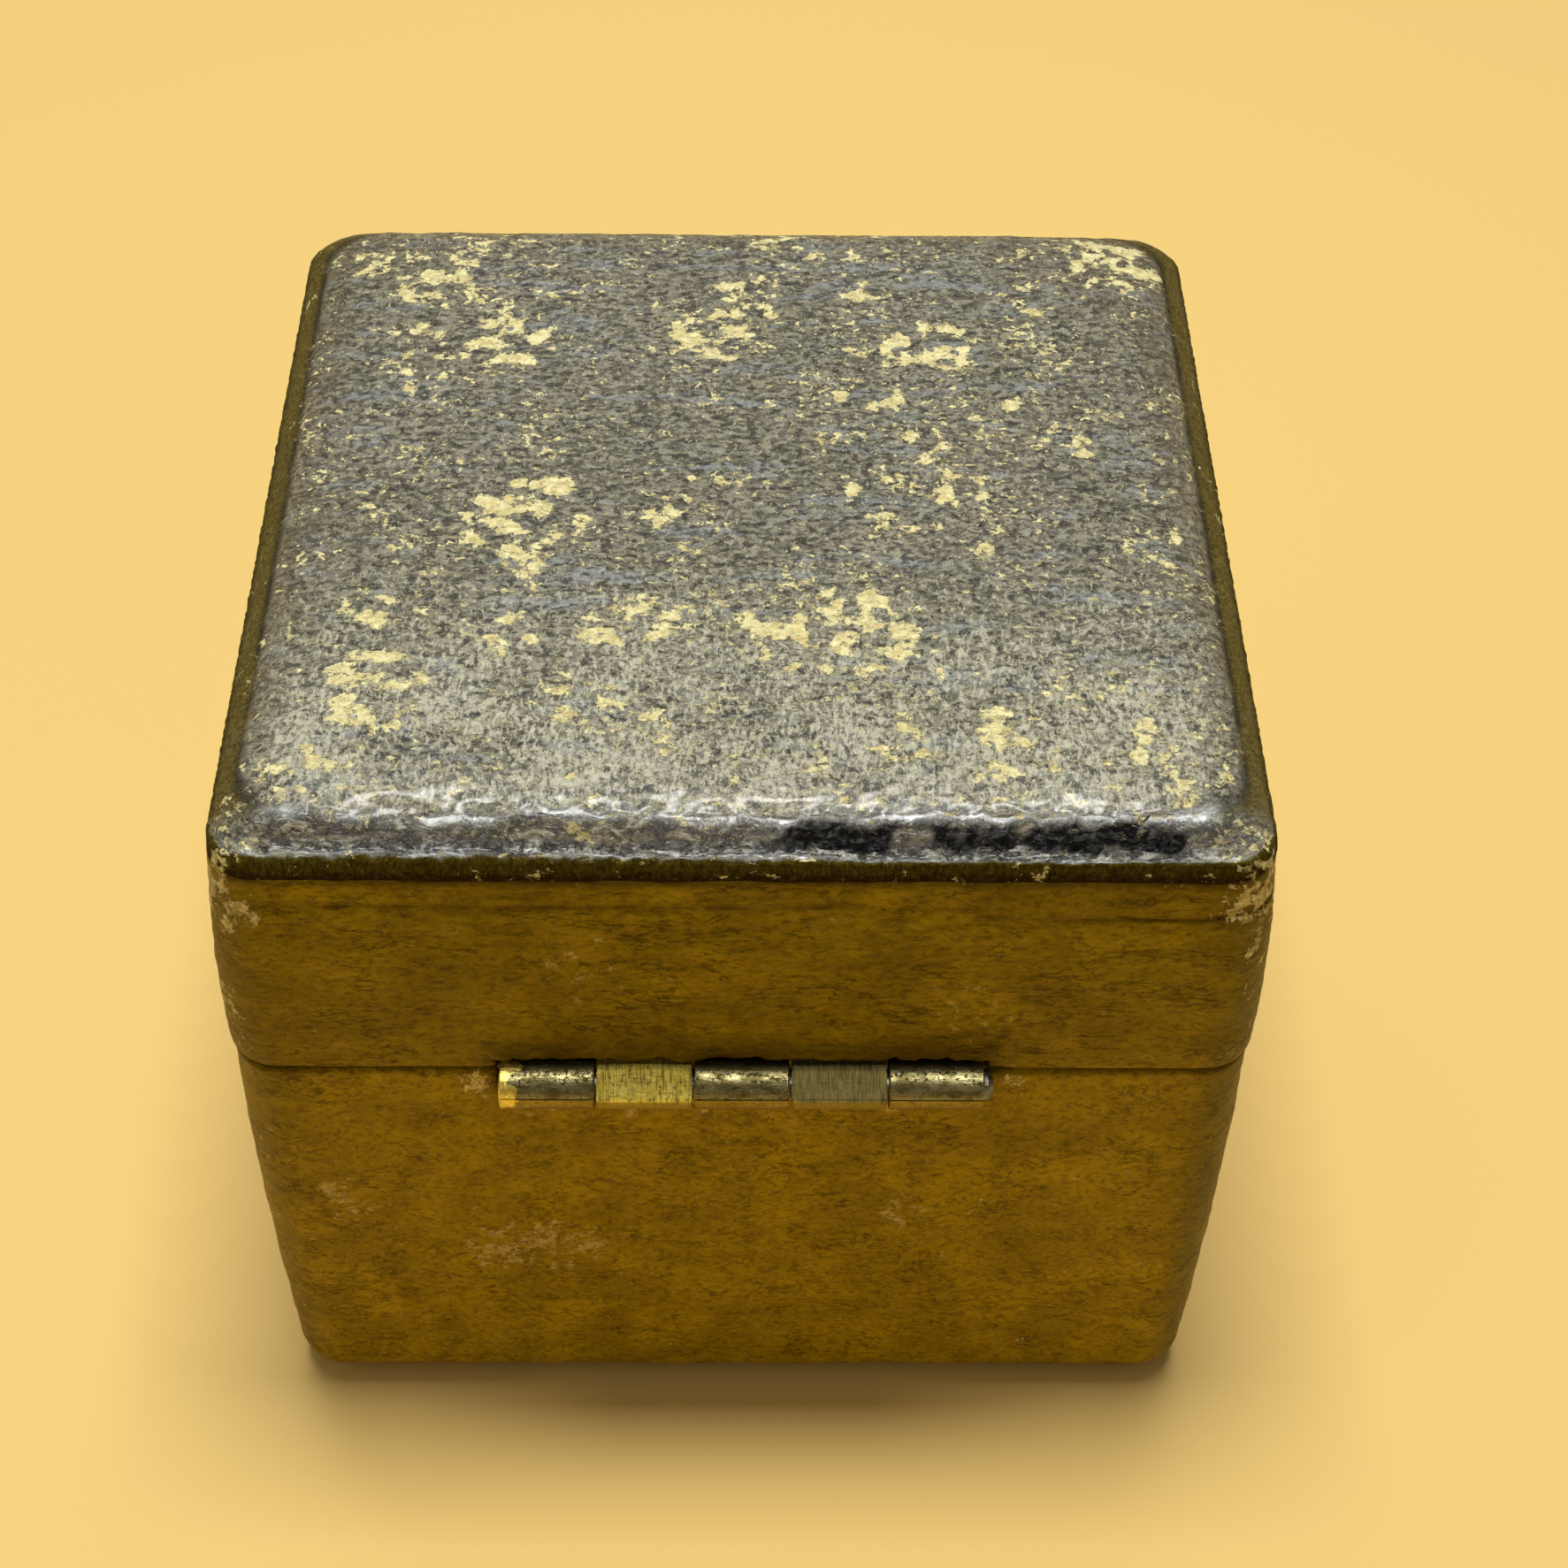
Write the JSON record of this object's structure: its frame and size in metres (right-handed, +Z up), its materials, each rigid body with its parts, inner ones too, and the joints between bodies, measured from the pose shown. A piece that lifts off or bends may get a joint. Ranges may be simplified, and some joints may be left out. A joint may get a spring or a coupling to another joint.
{
  "type": "rosin cake in a hinged case",
  "caption": "Round cake of bow rosin in cloth, kept in the fitted nest of a square leather-covered hinged case with a sprung push-button catch.",
  "frame": {"origin": "centre of the underside of the closed case, on the surface it stands on", "axes": "+Z up, -Y towards the push button at the front, +Y towards the hinge at the rear, X along the hinge"},
  "size_m": [0.0544, 0.058, 0.0479],
  "materials": {
    "lid_top_leather": "dark grey-brown pebbled leather, waxed by handling, with worn pale spots",
    "lid_wall_leather": "smooth olive-brown leather, finely creased",
    "base_leather": "olive-brown fine-grained leather, scuffed",
    "foot_panel": "dark paper, flat",
    "wood": "plain softwood, unfinished",
    "rim_silk": "faded silk over card, satin",
    "velvet": "worn velvet, pile",
    "lid_silk": "faded silk, satin",
    "hinge_brass": "old brass with dark patina",
    "filed_brass": "filed brass, rubbed bright",
    "steel_pin": "dull steel",
    "spring_steel": "blued spring steel",
    "plate_brass": "tarnished brass",
    "brads": "small brass brads, dull",
    "rosin": "amber rosin, glossy where moulded and dusty where bowed",
    "rosin_cloth": "plain woven cloth, frayed at the edge"
  },
  "bodies": {
    "base": {"base_leather": "base_leather", "base_bottom_board": "wood", "base_foot_panel": "foot_panel", "base_front_board": "wood", "base_rear_board": "wood", "base_left_board": "wood", "base_right_board": "wood", "rim_front_strip": "rim_silk", "rim_rear_strip": "rim_silk", "rim_left_strip": "rim_silk", "rim_right_strip": "rim_silk", "nest_block": "wood", "nest_ring": "velvet", "hinge_base_leaf": "hinge_brass", "hinge_pin": "steel_pin", "hinge_base_brads": "brads", "catch_plate": "plate_brass", "catch_plate_brads": "brads", "catch_spring_foot": "spring_steel", "catch_spring_screws": "steel_pin", "button_ferrule": "plate_brass"},
    "lid": {"lid_top_leather": "lid_top_leather", "lid_wall_leather": "lid_wall_leather", "lid_top_board": "wood", "lid_front_board": "wood", "lid_rear_board": "wood", "lid_left_board": "wood", "lid_right_board": "wood", "lid_wall_lining": "lid_silk", "lid_pad": "lid_silk", "hinge_lid_leaf": "filed_brass", "hinge_lid_brads": "brads", "lid_hook": "plate_brass", "lid_hook_brads": "brads"},
    "push_button": {"push_button": "plate_brass"},
    "catch_spring": {"catch_spring": "spring_steel"},
    "rosin": {"rosin_cake": "rosin", "rosin_cloth": "rosin_cloth"}
  },
  "joints": [
    {"name": "lid_hinge", "type": "hinge", "parent": "base", "child": "lid", "pos_m": [0, 0.02775, 0.0294], "axis": [-1, 0, 0], "range_deg": [0, 180]},
    {"name": "button_press", "type": "slide", "parent": "base", "child": "push_button", "axis": [0, 1, 0], "range_m": [0, 0.0006], "stiffness_N_per_m": 600, "springref_m": -0.0005},
    {"name": "spring_bend", "type": "hinge", "parent": "base", "child": "catch_spring", "pos_m": [0, -0.02397, 0.0125], "axis": [-1, 0, 0], "range_deg": [0, 3.6]},
    {"name": "rosin_lift", "type": "slide", "parent": "base", "child": "rosin", "axis": [0, 0, 1], "range_m": [0, 0.005]}
  ],
  "couplings": [
    {"joint": "spring_bend", "follows": "button_press", "rad_per_m": 101.01}
  ]
}
